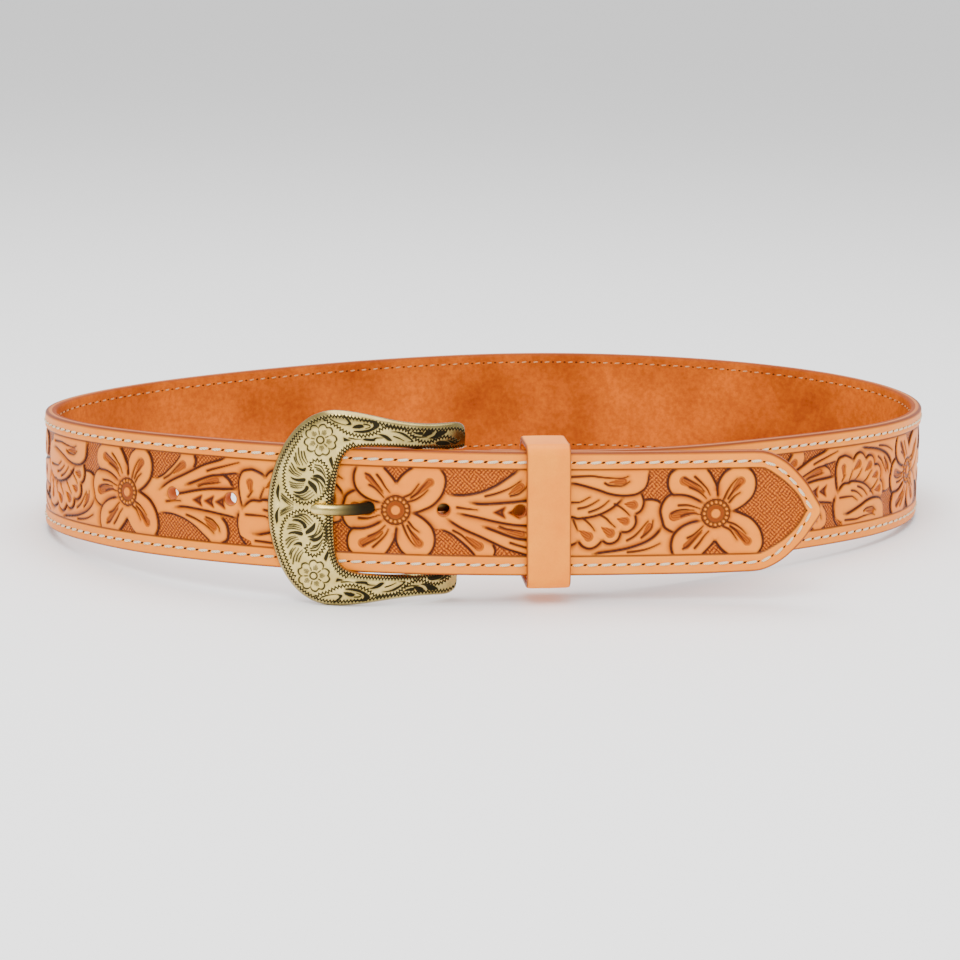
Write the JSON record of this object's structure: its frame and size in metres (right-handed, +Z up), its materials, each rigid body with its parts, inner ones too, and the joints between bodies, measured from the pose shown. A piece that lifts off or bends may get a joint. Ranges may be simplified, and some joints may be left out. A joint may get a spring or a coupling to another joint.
{
  "type": "western tooled belt",
  "caption": "Fastened western belt of floral tooled leather standing on its edge, with stitched lining, a plain keeper loop and an engraved heel-bar buckle.",
  "frame": {"origin": "under the middle of the belt's box, on the surface it stands on", "axes": "+X along the strap's front towards its tip, +Z up; the buckle faces -Y"},
  "size_m": [0.3538, 0.279, 0.0702],
  "materials": {
    "tooled_leather": "satin",
    "lining_leather": "satin",
    "keeper_leather": "satin",
    "buckle_metal": "antiqued satin",
    "prong_metal": "satin",
    "post_metal": "satin",
    "thread": "matte"
  },
  "bodies": {
    "root": {"strap_outer": "tooled_leather", "strap_lining": "lining_leather", "buckle_frame": "buckle_metal", "prong": "prong_metal", "keeper_loop": "keeper_leather", "fold_post_1": "post_metal", "fold_post_2": "post_metal"}
  },
  "joints": []
}
